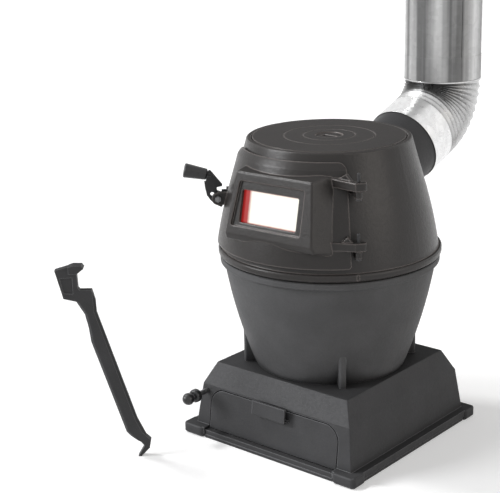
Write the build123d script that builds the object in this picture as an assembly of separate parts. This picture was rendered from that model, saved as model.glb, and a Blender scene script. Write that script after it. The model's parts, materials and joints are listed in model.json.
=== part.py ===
from build123d import *
import os
from math import cos, pi, radians, sin, tan

# Cast iron tent stove: a square base with an ash drawer and a shaken grate, a barrel in two
# castings, a curved fire door with a lit window, a hob of ring lids, a flue elbow with its
# first pipe, and the lifter that serves lids and drawer.
# Millimetres and degrees. +Z is up, the door faces -Y, the barrel's axis is x = y = 0 and the
# floor is z = 0. An azimuth is the angle about that axis from the front, positive towards +X.

# Clearances and common sizes
SEAT_GAP = 0.3
RUNNING_GAP = 0.08
SCREW_GAP = 0.05
OVERRUN = 40.0
M5_RADIUS = 2.5
M5_HEAD_RADIUS = 4.6
M5_HEAD_HEIGHT = 3.0

# Bottom plate
PLATE_THICKNESS = 5.0
PLATE_INSET = 1.0
PLATE_EDGE = 1.0
SILL_HEIGHT = 7.5
SILL_INSET = 2.0
SKID_WIDTH = 10.0
SKID_SPREAD = 160.0
PLATE_SCREW_REACH = 15.0
PLATE_SCREW_SPREAD = 120.0

# Base casting
BASE_WALL = 5.0
SKIRT_HALF = 145.0
FLANGE_PROUD = 12.0
FLANGE_LIFT = 1.5
FLANGE_THICKNESS = 10.0
FOLD_INSET = 8.0
FOLD_RISE = 62.0
PLATEAU_INSET = 16.0
PLATEAU_RISE = 33.0
BASE_EDGE = 2.0
FOOT_WIDTH = 40.0
FOOT_DEPTH = 30.0
FOOT_PROUD = 3.0
FOOT_CORNER = 7.0
FOOT_EDGE = 3.0
BOSS_RADIUS = 6.5
BOSS_CAP = 2.0

# Ash drawer
DRAWER_MARGIN = 2.0
DRAWER_DROP = 4.0
DRAWER_CORNER = 23.0
DRAWER_GAP = 1.6
DRAWER_LIFT = 0.9
DRAWER_FRONT_THICKNESS = 4.0
TRAY_WALL = 1.2
TRAY_INSET = 6.0
TRAY_BACK_GAP = 4.5
TRAY_TOP_GAP = 4.2
RIVET_RADIUS = 3.0
RIVET_HEAD_RADIUS = 5.5
RIVET_HEAD_HEIGHT = 2.0
RIVET_SPREAD = 120.0
RIVET_RISE = 22.0
RIVET_DEPTH = 5.0
PULL_WIDTH = 60.0
PULL_HEIGHT = 22.0
PULL_PROUD = 12.0
PULL_THICKNESS = 3.0
PULL_DROP = 15.0
PULL_CORNER = 2.5

# Grate and shaker
GRATE_INSET = 6.5
GRATE_LAP = 10.0
GRATE_THICKNESS = 7.0
GRATE_BAR = 8.0
GRATE_SLOT = 7.0
GRATE_RIM = 12.0
GRATE_PIN_RADIUS = 3.5
GRATE_PIN_INSET = 12.0
SHAKER_ROD_RADIUS = 4.0
SHAKER_INSET = 10.0
SHAKER_DROP = 9.0
SHAKER_STROKE = 13.0
SHAKER_ARM_WIDTH = 16.0
SHAKER_ARM_THICKNESS = 6.0
SHAKER_TAIL = 75.0
SHAKER_GUIDE_SETBACK = 18.0
SHAKER_GUIDE_WIDTH = 12.0
SHAKER_GUIDE_HEIGHT = 18.0
SHAKER_KNOB_RADIUS = 9.0
SHAKER_KNOB_REACH = 43.0
SHAKER_COLLAR_RADIUS = 10.0
SHAKER_COLLAR_LENGTH = 11.0
SHAKER_COLLAR_REACH = 27.0

# Bowl, the lower barrel casting
BARREL_WALL = 6.0
BOWL_INSET = 8.5
BOWL_FLARE = 43.1
BOWL_RISE = 157.0
BOWL_BULGE = 4.6
BOWL_FLANGE_LIP = 5.9
SEAM_FLANGE_HEIGHT = 11.5
SEAM_EDGE = 3.0
FIN_PROUD = 17.5
FIN_THICKNESS = 10.0
FIN_HEIGHT = 60.0
FIN_BOLT_PROUD = 8.5
FIN_BOLT_GRIP = 12.0
FIN_AZIMUTHS = (45.0, 135.0, 225.0, 315.0)
GASKET_THICKNESS = 2.0
GASKET_WIDTH = 7.0
SEAM_GASKET_INSET = 3.5

# Bell, the upper barrel casting
BELL_FOOT_LAP = 3.7
BELL_FLANGE_LIP = 4.7
BELL_FLANGE_HEIGHT = 10.5
BELL_KNEE_INSET = 18.3
BELL_KNEE_RISE = 84.0
BELL_RIM_INSET = 22.0
BELL_RIM_RISE = 160.0
RIM_WIDTH = 6.6
RIM_EDGE = 3.0
RIM_INNER_EDGE = 1.5
HOB_RECESS_DEPTH = 5.6
HOB_LEDGE_WIDTH = 9.4
HOB_LEDGE_THICKNESS = 6.0

# Hob lids
HOB_GAP = 1.2
LID_THICKNESS = 5.8
LID_LAP = 4.2
LID_GAP = 0.5
LID_EDGE = 0.8
LID_ALLOWANCE = 1.6
RING_ALLOWANCE = 0.1
LID_SLOT_LENGTH = 26.0
LID_SLOT_WIDTH = 9.0
LID_DISH_RADIUS = 20.0
LID_DISH_DEPTH = 1.6

# Fire door
DOOR_LEFT_ANGLE = -47.0
DOOR_RIGHT_ANGLE = 47.5
DOOR_RISE = 8.0
DOOR_DROP = 11.0
DOOR_STANDOFF = 2.5
DOOR_THICKNESS = 4.5
DOOR_TOP_CORNER = 12.0
DOOR_BOTTOM_CORNER = 5.0
DOOR_BEVEL_HEIGHT = 10.0
DOOR_BEVEL_LIP = 1.2
OPENING_MARGIN = 14.0
OPENING_MARGIN_ANGLE = 9.0
DOOR_GASKET_MARGIN = 5.0
DOOR_GASKET_MARGIN_ANGLE = 2.0
DOOR_GASKET_WIDTH = 7.0
DOOR_GASKET_WIDTH_ANGLE = 3.0
DOOR_GASKET_GAP = 0.4

# Window box on the door, on a plane that leans back with the barrel. Its front runs from the
# chin to the brow, its sides are given at the top of the brow and at the foot of the chin.
FACE_AZIMUTH = 2.5
FACE_LEAN_ANGLE = 12.5
FACE_RISE = 79.0
FACE_PROUD = 2.6
BOX_TOP = 50.3
BOX_BOTTOM = 38.5
BOX_LEFT_TOP = 59.4
BOX_LEFT_BOTTOM = 69.8
BOX_RIGHT_TOP = 68.1
BOX_RIGHT_BOTTOM = 81.7
BOX_BEVEL_WIDTH = 13.0
BOX_BEVEL_DEPTH = 30.0
BOX_DEPTH = 90.0
BOX_WALL = 8.0
BOX_SIDE_WALL = 4.8
BOX_EDGE = 3.5
BROW_RISE = 9.5
BROW_DEPTH = 22.0
CHIN_DROP = 7.5
CHIN_DEPTH = 5.0
RECESS_LEFT_TOP = 51.7
RECESS_LEFT_BOTTOM = 60.2
RECESS_RIGHT = 59.0
RECESS_TOP = 38.0
RECESS_BOTTOM = 25.8
RECESS_DEPTH = 4.0
RECESS_CORNER = 3.0
WINDOW_HALF_WIDTH = 48.8
WINDOW_TOP = 26.0
WINDOW_BOTTOM = 20.5
GLASS_LAP = 6.0
GLASS_THICKNESS = 4.0
GLASS_GASKET_THICKNESS = 1.5
CLIP_WIDTH = 14.0
CLIP_LENGTH = 13.0
CLIP_THICKNESS = 2.0
CLIP_LAP = 4.0
CLIP_SPREAD = 64.0

# Door hinge
HINGE_AZIMUTH = 50.8
HINGE_PROUD = 5.7
HINGE_UPPER_RISE = 117.7
HINGE_LOWER_RISE = 34.1
HINGE_PIN_RADIUS = 2.2
HINGE_PIN_RISE = 13.0
HINGE_PIN_HEAD_RADIUS = 4.0
HINGE_PIN_HEAD_HEIGHT = 2.5
HINGE_LUG_HALF = 5.0
HINGE_LUG_THICKNESS = 10.0
HINGE_ARM_THICKNESS = 11.5
HINGE_ARM_HALF = 6.0
HINGE_ARM_TAIL = 11.0
HINGE_ARM_ROOT_ANGLE = 37.0
SKIN_EDGE_ANGLE = 1.0
GUSSET_HEIGHT = 8.0
GUSSET_THICKNESS = 5.0
# Foot, peak and end of the gusset, as shares of the way from the door's skin to the pin
GUSSET_SHARES = (0.05, 0.41, 0.68)

# Door latch, laid out by distance from the barrel's axis and by height
LATCH_PIVOT_PROUD = 18.2
LATCH_PIVOT_RISE = 71.7
LATCH_BOLT_RADIUS = 3.0
LATCH_BOLT_HEAD_RADIUS = 4.8
LATCH_BOLT_HEAD_HEIGHT = 3.5
LATCH_EAR_THICKNESS = 6.0
LATCH_EAR_HALF = 9.0
LATCH_EAR_RISE = 10.0
LEVER_THICKNESS = 4.0
LEVER_SIZE = 40.0
LEVER_CORNER = 1.5
LEVER_HOLE_RADIUS = 3.0
HEX_SIDES = 6
# Lever outline: outwards and up from its pivot, as shares of its size
LEVER_OUTLINE_SHARES = (
    (0.258, 1.05), (-0.172, 0.5), (-0.162, 0.433), (0.03, 0.403), (0.03, 0.283),
    (-0.19, 0.183), (-0.2, -0.217), (-0.13, -0.348), (0.108, -0.238), (0.262, -0.083),
    (0.395, 0.11), (0.458, 0.403), (0.478, 0.643), (0.428, 0.933),
)
LEVER_HOLE_SHARE = (0.2, 0.15)
GRIP_ROOT_SHARE = (0.366, 0.88)
GRIP_RADIUS = 10.7
GRIP_NECK_RADIUS = 8.1
GRIP_LENGTH = 34.0
GRIP_TILT_ANGLE = 12.8
GRIP_EDGE = 2.5
GRIP_STUD_RADIUS = 3.0
GRIP_STUD_LENGTH = 24.0
GRIP_STUD_ROOT = 6.0
KEEPER_GAP = 3.0
KEEPER_THICKNESS = 5.0
KEEPER_PROUD = 12.2
KEEPER_HALF = 10.0
KEEPER_FOOT = 5.0
KEEPER_FOOT_WIDTH = 16.0

# Flue
FLUE_TILT_ANGLE = 20.3
FLUE_PROUD = 30.7
FLUE_RISE = 110.0
COLLAR_RADIUS = 58.6
COLLAR_BORE_RADIUS = 51.0
COLLAR_SPIGOT_RADIUS = 55.0
COLLAR_SPIGOT_DEPTH = 10.0
COLLAR_INSERT = 25.0
FLUE_SHEET = 0.9
FLUE_RADIUS = 60.0
SLEEVE_LENGTH = 47.0
SLEEVE_LAP = 8.0
PIPE_SETBACK = 111.0
ELBOW_BEND_RADIUS = 70.0
PLEATS = 12
PLEAT_DEPTH = 2.6
BEAD_PROUD = 0.9
BEAD_WIDTH = 2.4
SPIGOT_LENGTH = 34.0
SOCKET_PROUD = 0.5
SOCKET_END_GAP = 2.0
PIPE_GAP = 0.35
PIPE_LENGTH = 300.0
MOUTH_LENGTH = 40.0
MOUTH_TAPER = 6.0
SEAM_WIDTH = 7.0
SEAM_PROUD = 0.8
PIPE_SEAM_AZIMUTH = 64.0

# Lid lifter, standing on its toe in front of the stove's left side
LIFTER_HEIGHT = 295.9
LIFTER_THICKNESS = 10.0
LIFTER_BEVEL = 3.5
LIFTER_FACING_ANGLE = 40.65
LIFTER_X = -154.0
LIFTER_Y = -258.2
LIFTER_POCKET_DEPTH = 3.0
LIFTER_NUB_THICKNESS = 16.0
# Outline shares: across and up from the toe, as shares of the lifter's height
LIFTER_OUTLINE_SHARES = (
    (-0.011, 0.0), (0.004, 0.0), (0.047, 0.045), (0.055, 0.086), (0.037, 0.104),
    (-0.008, 0.202), (-0.177, 0.761), (-0.179, 0.822), (-0.195, 0.874), (-0.251, 0.875),
    (-0.259, 0.884), (-0.262, 0.956), (-0.227, 0.984), (-0.237, 0.999), (-0.279, 1.0),
    (-0.366, 0.975), (-0.355, 0.93), (-0.331, 0.833), (-0.275, 0.819), (-0.235, 0.75),
    (-0.22, 0.68), (-0.212, 0.608), (-0.064, 0.129), (-0.043, 0.106), (0.005, 0.078),
    (0.022, 0.057),
)
LIFTER_POCKET_SHARES = ((-0.33, 0.862), (-0.284, 0.855), (-0.284, 0.938), (-0.344, 0.935))
LIFTER_NUB_SHARES = (
    (-0.3, 0.958), (-0.262, 0.956), (-0.227, 0.984), (-0.237, 0.999), (-0.279, 1.0),
    (-0.3, 0.993),
)
# Lowest and highest edges of the shaft that are bevelled
LIFTER_SHAFT_SHARES = (0.11, 0.8)

# Heights, worked out upwards from the floor
FLANGE_BOTTOM = PLATE_THICKNESS + FLANGE_LIFT
FLANGE_TOP = FLANGE_BOTTOM + FLANGE_THICKNESS
FOLD_Z = FLANGE_TOP + FOLD_RISE
PLATEAU_Z = FOLD_Z + PLATEAU_RISE
SILL_TOP = PLATE_THICKNESS + SILL_HEIGHT
DRAWER_TOP = FOLD_Z - DRAWER_DROP
PULL_BOTTOM = DRAWER_TOP - PULL_DROP
SHAKER_Z = FOLD_Z - SHAKER_DROP
BOWL_FLANGE_Z = PLATEAU_Z + BOWL_RISE
BOWL_TOP_Z = BOWL_FLANGE_Z + SEAM_FLANGE_HEIGHT
BELL_BOTTOM_Z = BOWL_TOP_Z + GASKET_THICKNESS
BELL_FOOT_Z = BELL_BOTTOM_Z + BELL_FLANGE_HEIGHT
KNEE_Z = BELL_FOOT_Z + BELL_KNEE_RISE
RIM_Z = BELL_FOOT_Z + BELL_RIM_RISE
HOB_SEAT_Z = RIM_Z - HOB_RECESS_DEPTH
LID_BOTTOM_Z = HOB_SEAT_Z + SEAT_GAP
DOOR_BOTTOM_Z = BELL_FOOT_Z + DOOR_RISE
DOOR_TOP_Z = RIM_Z - DOOR_DROP
FACE_Z = BELL_FOOT_Z + FACE_RISE
HINGE_UPPER_Z = BELL_FOOT_Z + HINGE_UPPER_RISE
HINGE_LOWER_Z = BELL_FOOT_Z + HINGE_LOWER_RISE
LATCH_PIVOT_Z = BELL_FOOT_Z + LATCH_PIVOT_RISE
FLUE_Z = BELL_FOOT_Z + FLUE_RISE

# Half widths and radii, worked out from the skirt
FLANGE_HALF = SKIRT_HALF + FLANGE_PROUD
FOLD_HALF = SKIRT_HALF - FOLD_INSET
PLATEAU_HALF = FOLD_HALF - PLATEAU_INSET
FOOT_REACH = FLANGE_HALF + FOOT_PROUD
FOOT_INNER_X = FOOT_REACH - FOOT_WIDTH
FOOT_INNER_Y = FOOT_REACH - FOOT_DEPTH
DRAWER_HALF = FOOT_INNER_X - DRAWER_MARGIN
TRAY_HALF = DRAWER_HALF - TRAY_INSET
BOWL_FOOT_RADIUS = PLATEAU_HALF - BOWL_INSET
BOWL_TOP_RADIUS = BOWL_FOOT_RADIUS + BOWL_FLARE
GRATE_RADIUS = BOWL_FOOT_RADIUS - BARREL_WALL - GRATE_INSET
GRATE_HOLE_RADIUS = GRATE_RADIUS - GRATE_LAP
GRATE_PIN_THROW = GRATE_HOLE_RADIUS - GRATE_PIN_INSET
FIN_REACH = BOWL_FOOT_RADIUS + FIN_PROUD
FIN_BOLT_REACH = BOWL_FOOT_RADIUS + FIN_BOLT_PROUD
BOWL_FLANGE_RADIUS = BOWL_TOP_RADIUS + BOWL_FLANGE_LIP
SEAM_GASKET_RADIUS = BOWL_FLANGE_RADIUS - SEAM_GASKET_INSET
BELL_FOOT_RADIUS = BOWL_TOP_RADIUS + BELL_FOOT_LAP
BELL_FLANGE_RADIUS = BELL_FOOT_RADIUS + BELL_FLANGE_LIP
BELL_KNEE_RADIUS = BELL_FOOT_RADIUS - BELL_KNEE_INSET
BELL_RIM_RADIUS = BELL_KNEE_RADIUS - BELL_RIM_INSET
HOB_RECESS_RADIUS = BELL_RIM_RADIUS - RIM_WIDTH
HOB_LEDGE_RADIUS = HOB_RECESS_RADIUS - HOB_LEDGE_WIDTH
# The centre lid takes about a third of the recess's radius and the inner ring about a quarter
INNER_RING_BORE = (HOB_RECESS_RADIUS + LID_ALLOWANCE) / 3
OUTER_RING_BORE = INNER_RING_BORE + HOB_RECESS_RADIUS / 4 - RING_ALLOWANCE
HINGE_REACH = BELL_FOOT_RADIUS + HINGE_PROUD
FLUE_REACH = BELL_FOOT_RADIUS + FLUE_PROUD
PIPE_AXIS_Y = FLUE_REACH + PIPE_SETBACK

X_AZIMUTH = 90.0
FULL_TURN = 360.0
STANDING = (Align.CENTER, Align.CENTER, Align.MIN)


# Shape helpers

def block(x_range, y_range, z_range):
    """Box between the given limits."""
    ranges = (x_range, y_range, z_range)
    centre = [(low + high) / 2 for low, high in ranges]
    return Pos(*centre) * Box(*[high - low for low, high in ranges])


def bar(radius, start, end):
    """Round bar between two points."""
    axis = Vector(*end) - Vector(*start)
    return Plane(origin=start, z_dir=axis) * Cylinder(radius, axis.length, align=STANDING)


def outline(*points):
    """Flat face inside the given corners."""
    return make_face(Polyline(*points, close=True))


def turned(*points):
    """Solid of revolution about the barrel's axis, from corners given as radius and height."""
    return revolve(Plane.XZ * outline(*points), Axis.Z)


def hoop(outer, inner, bottom, top):
    """Plain ring about the barrel's axis."""
    return turned((inner, bottom), (outer, bottom), (outer, top), (inner, top))


def prism(face, plane, thickness):
    """Extrusion of a face to both sides of a plane."""
    return extrude(plane * face, thickness / 2, both=True)


def at_azimuth(azimuth, shape):
    """Turn a shape that was built at the front round to an azimuth."""
    return Rot(0, 0, azimuth) * shape


def polar(reach, azimuth, z, across=0.0):
    """Point at a distance from the barrel's axis, moved sideways by a further distance."""
    angle = radians(azimuth)
    return (reach * sin(angle) + across * cos(angle), across * sin(angle) - reach * cos(angle), z)


def circles_at(shape, radius):
    """Full circles of a radius on a shape, lowest first."""
    rims = shape.edges().filter_by(lambda edge: abs(edge.length - 2 * pi * radius) < SCREW_GAP)
    return rims.sort_by(Axis.Z)


def together(solids):
    """Several separate solids as one group."""
    group = solids[0]
    for solid in solids[1:]:
        group += solid
    return group


# The bell's outer face and the layers that follow it

def bell_curve(offset):
    """Outline from the rim down to the foot, as radius and height."""
    rim = (BELL_RIM_RADIUS + offset, RIM_Z)
    knee = (BELL_KNEE_RADIUS + offset, KNEE_Z)
    foot = (BELL_FOOT_RADIUS + offset, BELL_FOOT_Z)
    shoulder = Line(rim, knee)
    return [shoulder, TangentArc(knee, foot, tangent=shoulder % 1)]


def bell_face(curves, *corners):
    """Face between the given curves and the straight lines that join the corners."""
    return make_face([*curves, *[Line(a, b) for a, b in zip(corners[::2], corners[1::2])]])


def bell_layer(inner, outer, azimuths=(0.0, FULL_TURN)):
    """Layer between two offsets of the bell's outer face."""
    near, far = bell_curve(inner), bell_curve(outer)
    face = bell_face([*near, *far], near[0] @ 0, far[0] @ 0, near[1] @ 1, far[1] @ 1)
    start, end = azimuths
    return at_azimuth(start - X_AZIMUTH, revolve(Plane.XZ * face, Axis.Z, end - start))


def bell_core(offset):
    """Everything inside an offset of the bell's outer face."""
    curve = bell_curve(offset)
    rim, foot = curve[0] @ 0, curve[1] @ 1
    face = bell_face(curve, rim, (0, RIM_Z), (0, RIM_Z), (0, BELL_FOOT_Z), (0, BELL_FOOT_Z), foot)
    return revolve(Plane.XZ * face, Axis.Z)


def bell_radius(z):
    """Radius of the bell's outer face on its straight shoulder, carried on below the knee."""
    slope = (BELL_KNEE_RADIUS - BELL_RIM_RADIUS) / (RIM_Z - KNEE_Z)
    return BELL_RIM_RADIUS + (RIM_Z - z) * slope


def band(bottom, top):
    """Block that is wider than the barrel, between two heights."""
    half = BELL_FLANGE_RADIUS + OVERRUN
    return block((-half, half), (-half, half), (bottom, top))


def sector(azimuths, radii, heights):
    """Part of a ring between two azimuths."""
    (start, end), (inner, outer), (bottom, top) = azimuths, radii, heights
    face = outline((inner, bottom), (outer, bottom), (outer, top), (inner, top))
    return at_azimuth(start - X_AZIMUTH, revolve(Plane.XZ * face, Axis.Z, end - start))


# Base

FOOT_CENTRE_X = FOOT_REACH - FOOT_WIDTH / 2
FOOT_CENTRE_Y = FOOT_REACH - FOOT_DEPTH / 2
CORNERS = [(x, y) for x in (-1, 1) for y in (-1, 1)]
PLATE_HALF = FLANGE_HALF - PLATE_INSET
PLATE_SCREW_X = SKIRT_HALF - BASE_WALL - BOSS_RADIUS + SEAT_GAP
SKIRT_SLOPE = FOLD_INSET / FOLD_RISE
SHAKER_X = SHAKER_INSET - FOLD_HALF


def skirt_y(z, proud=0.0):
    """Place of the front skirt's face at a height, or of a line that stands proud of it."""
    return (z - FLANGE_TOP) * SKIRT_SLOPE - SKIRT_HALF - proud


def skirt_layer(near, far):
    """Layer in front of the front skirt's face, between two distances from it."""
    corners = [(skirt_y(0, near), 0), (skirt_y(FOLD_Z, near), FOLD_Z)]
    corners += [(skirt_y(FOLD_Z, far), FOLD_Z), (skirt_y(0, far), 0)]
    return prism(outline(*corners), Plane.YZ, 2 * FLANGE_HALF)


def square(half, z):
    return Pos(0, 0, z) * Rectangle(2 * half, 2 * half)


def pyramid(inset, bottom):
    """Skirt and sloping shoulder, drawn in by an inset."""
    fold = square(FOLD_HALF - inset, FOLD_Z)
    skirt = loft([square(SKIRT_HALF - inset, FLANGE_TOP), fold], ruled=True)
    shoulder = loft([fold, square(PLATEAU_HALF - inset, PLATEAU_Z - inset)], ruled=True)
    half = SKIRT_HALF - inset
    return block((-half, half), (-half, half), (bottom, FLANGE_TOP)) + skirt + shoulder


def drawer_prism(grow, bottom, y_range):
    """Block with the drawer front's rounded outline."""
    height = DRAWER_TOP + grow - bottom
    face = Pos(0, bottom + height / 2) * Rectangle(2 * (DRAWER_HALF + grow), height)
    face = fillet(face.vertices().group_by(Axis.Y)[-1], DRAWER_CORNER + grow)
    return Pos(0, y_range[1], 0) * extrude(Plane.XZ * face, y_range[1] - y_range[0])


def foot(x, y):
    pad = extrude(RectangleRounded(FOOT_WIDTH, FOOT_DEPTH, FOOT_CORNER), FLANGE_TOP)
    pad = chamfer(pad.edges().group_by(Axis.Z)[0], FOOT_EDGE)
    pad = fillet(pad.edges().group_by(Axis.Z)[-1], FOOT_EDGE)
    return Pos(x * FOOT_CENTRE_X, y * FOOT_CENTRE_Y, 0) * pad


def plate_screw_place(x, y):
    return (x * PLATE_SCREW_X, y * PLATE_SCREW_SPREAD / 2)


def make_base():
    body = pyramid(0, PLATE_THICKNESS)
    sharp = body.edges().filter_by(lambda edge: edge.center().Z > FLANGE_TOP + BASE_EDGE)
    body = fillet(sharp, BASE_EDGE)
    half = FLANGE_HALF
    body += block((-half, half), (-half, half), (FLANGE_BOTTOM, FLANGE_TOP))
    body -= block((-FOOT_INNER_X, FOOT_INNER_X), (-half - OVERRUN, -SKIRT_HALF), (0, FLANGE_TOP))
    body -= pyramid(BASE_WALL, 0)
    for x, y in CORNERS:
        body += foot(x, y)
    front_wall = (-SKIRT_HALF - OVERRUN, 2 * BASE_WALL - FOLD_HALF)
    body -= drawer_prism(DRAWER_GAP, 0, front_wall)
    body -= bar(GRATE_HOLE_RADIUS, (0, 0, FOLD_Z), (0, 0, PLATEAU_Z + OVERRUN))
    guide_end = SHAKER_TAIL - SHAKER_GUIDE_SETBACK
    guide_y = (guide_end - SHAKER_GUIDE_WIDTH, guide_end)
    guide_x = (BASE_WALL / 2 - FOLD_HALF, SHAKER_X + SHAKER_GUIDE_WIDTH / 2)
    guide_z = (SHAKER_Z - SHAKER_GUIDE_HEIGHT / 2, SHAKER_Z + SHAKER_GUIDE_HEIGHT / 2)
    body += block(guide_x, guide_y, guide_z) & pyramid(BASE_WALL / 2, 0)
    hole_ends = [(SHAKER_X, y, SHAKER_Z) for y in (-SKIRT_HALF - OVERRUN, FOLD_HALF - OVERRUN)]
    body -= bar(SHAKER_ROD_RADIUS + RUNNING_GAP, *hole_ends)
    for x, y in CORNERS:
        place = plate_screw_place(x, y)
        top = PLATE_THICKNESS + PLATE_SCREW_REACH
        body += bar(BOSS_RADIUS, (*place, PLATE_THICKNESS), (*place, top + BOSS_CAP))
        body -= bar(M5_RADIUS + SCREW_GAP, (*place, 0), (*place, top))
    for azimuth in FIN_AZIMUTHS:
        hole_ends = [polar(FIN_BOLT_REACH, azimuth, z) for z in (FOLD_Z, PLATEAU_Z + OVERRUN)]
        body -= bar(M5_RADIUS + SCREW_GAP, *hole_ends)
    return body


def make_bottom_plate():
    half = PLATE_HALF
    plate = block((-half, half), (-half, half), (0, PLATE_THICKNESS))
    sill_half = FOOT_INNER_X - LID_GAP
    plate += block((-sill_half, sill_half), (SILL_INSET - FLANGE_HALF, -SKIRT_HALF - LID_GAP), (0, SILL_TOP))
    for x, y in CORNERS:
        x_range = sorted((x * (FOOT_INNER_X - LID_GAP), x * FOOT_REACH))
        y_range = sorted((y * (FOOT_INNER_Y - LID_GAP), y * FOOT_REACH))
        plate -= block(x_range, y_range, (0, SILL_TOP))
    plate = chamfer(plate.faces().sort_by(Axis.Z)[0].outer_wire().edges(), PLATE_EDGE)
    for side in (-1, 1):
        centre = side * SKID_SPREAD / 2
        x_range = (centre - SKID_WIDTH / 2, centre + SKID_WIDTH / 2)
        plate += block(x_range, (BASE_WALL - SKIRT_HALF, TRAY_BACK), (PLATE_THICKNESS, SILL_TOP))
    for x, y in CORNERS:
        place = plate_screw_place(x, y)
        plate -= bar(M5_RADIUS + SCREW_GAP, (*place, 0), (*place, SILL_TOP))
        plate -= bar(M5_HEAD_RADIUS + LID_GAP, (*place, 0), (*place, M5_HEAD_HEIGHT + LID_GAP))
    return plate


def make_plate_screws():
    screws = []
    for x, y in CORNERS:
        place = plate_screw_place(x, y)
        head = M5_HEAD_HEIGHT + LID_GAP
        screw = bar(M5_HEAD_RADIUS, (*place, LID_GAP), (*place, head))
        top = PLATE_THICKNESS + PLATE_SCREW_REACH - BOSS_CAP
        screws.append(screw + bar(M5_RADIUS, (*place, LID_GAP), (*place, top)))
    return together(screws)


# Ash drawer

TRAY_BOTTOM = SILL_TOP + SEAT_GAP
TRAY_TOP = SHAKER_Z - SHAKER_ARM_THICKNESS / 2 - TRAY_TOP_GAP
TRAY_FRONT = skirt_y(TRAY_TOP, -DRAWER_FRONT_THICKNESS) + SEAT_GAP
TRAY_BACK = FOLD_HALF - BASE_WALL - TRAY_BACK_GAP
RIVET_Z = TRAY_BOTTOM + RIVET_RISE


def make_drawer_front():
    y_range = (-SKIRT_HALF - OVERRUN, OVERRUN - SKIRT_HALF)
    front = drawer_prism(0, SILL_TOP + DRAWER_LIFT, y_range) & skirt_layer(-DRAWER_FRONT_THICKNESS, 0)
    for side in (-1, 1):
        x = side * RIVET_SPREAD / 2
        root = skirt_y(RIVET_Z, -DRAWER_FRONT_THICKNESS / 2)
        front += bar(RIVET_HEAD_RADIUS, (x, root, RIVET_Z), (x, TRAY_FRONT, RIVET_Z))
        hole_end = (x, TRAY_FRONT - RIVET_DEPTH - SEAT_GAP, RIVET_Z)
        front -= bar(RIVET_RADIUS + SCREW_GAP, hole_end, (x, TRAY_FRONT + OVERRUN, RIVET_Z))
    return front


def make_drawer_pull():
    low, high = PULL_BOTTOM, PULL_BOTTOM + PULL_HEIGHT
    shelf = PULL_BOTTOM + PULL_THICKNESS
    inside = PULL_PROUD - PULL_THICKNESS
    corners = [(0, low), (PULL_PROUD, low), (PULL_PROUD, high), (inside, high)]
    corners += [(inside, shelf), (0, shelf)]
    face = outline(*[(skirt_y(z, proud), z) for proud, z in corners])
    pull = prism(face, Plane.YZ, PULL_WIDTH)
    bend = pull.edges().filter_by(Axis.X).sort_by(lambda edge: edge.center().Y + edge.center().Z)[0]
    return fillet([bend], PULL_CORNER)


def make_drawer_tray():
    half, wall = TRAY_HALF, TRAY_WALL
    tray = block((-half, half), (TRAY_FRONT, TRAY_BACK), (TRAY_BOTTOM, TRAY_TOP))
    inner_y = (TRAY_FRONT + wall, TRAY_BACK - wall)
    tray -= block((wall - half, half - wall), inner_y, (TRAY_BOTTOM + wall, TRAY_TOP + OVERRUN))
    for side in (-1, 1):
        x = side * RIVET_SPREAD / 2
        start = (x, TRAY_FRONT - wall, RIVET_Z)
        tray -= bar(RIVET_RADIUS + SCREW_GAP, start, (x, TRAY_FRONT + 2 * wall, RIVET_Z))
    return tray


def make_drawer_rivets():
    rivets = []
    inside = TRAY_FRONT + TRAY_WALL
    for side in (-1, 1):
        x = side * RIVET_SPREAD / 2
        shank = bar(RIVET_RADIUS, (x, TRAY_FRONT - RIVET_DEPTH, RIVET_Z), (x, inside, RIVET_Z))
        head = bar(RIVET_HEAD_RADIUS, (x, inside, RIVET_Z), (x, inside + RIVET_HEAD_HEIGHT, RIVET_Z))
        head = fillet(head.edges().sort_by(Axis.Y)[-1:], RIVET_HEAD_HEIGHT / 2)
        rivets.append(shank + head)
    return together(rivets)


# Grate and shaker

GRATE_Z = PLATEAU_Z + SEAT_GAP
ARM_BOTTOM = SHAKER_Z - SHAKER_ARM_THICKNESS / 2


def make_grate():
    grate = bar(GRATE_RADIUS, (0, 0, GRATE_Z), (0, 0, GRATE_Z + GRATE_THICKNESS))
    field = GRATE_RADIUS - GRATE_RIM
    pitch = GRATE_BAR + GRATE_SLOT
    count = int(2 * field / pitch)
    for index in range(count):
        x = (index - (count - 1) / 2) * pitch
        slot = SlotOverall(2 * (field**2 - x**2) ** 0.5, GRATE_SLOT, rotation=X_AZIMUTH)
        grate -= Pos(x, 0, GRATE_Z) * extrude(slot, GRATE_THICKNESS)
    pin = (-GRATE_PIN_THROW, 0)
    grate += bar(GRATE_BAR, (*pin, GRATE_Z), (*pin, GRATE_Z + GRATE_THICKNESS))
    return grate + bar(GRATE_PIN_RADIUS, (*pin, ARM_BOTTOM - SEAT_GAP), (*pin, GRATE_Z))


def make_shaker_rod():
    knob = (SHAKER_X, skirt_y(SHAKER_Z, SHAKER_KNOB_REACH), SHAKER_Z)
    rod = bar(SHAKER_ROD_RADIUS, knob, (SHAKER_X, SHAKER_TAIL, SHAKER_Z))
    tip = GRATE_BAR - GRATE_PIN_THROW
    arm_z = (ARM_BOTTOM, ARM_BOTTOM + SHAKER_ARM_THICKNESS)
    arm = block((SHAKER_X, tip), (-SHAKER_ARM_WIDTH / 2, SHAKER_ARM_WIDTH / 2), arm_z)
    swing = SHAKER_STROKE / GRATE_PIN_THROW
    slack = 2 * (GRATE_PIN_RADIUS + SEAT_GAP + GRATE_PIN_THROW * (1 - cos(swing)))
    slot = SlotOverall(slack + SEAT_GAP, 2 * (GRATE_PIN_RADIUS + SEAT_GAP))
    arm -= Pos(-GRATE_PIN_THROW, 0, ARM_BOTTOM) * extrude(slot, SHAKER_ARM_THICKNESS)
    return rod + arm


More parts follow.
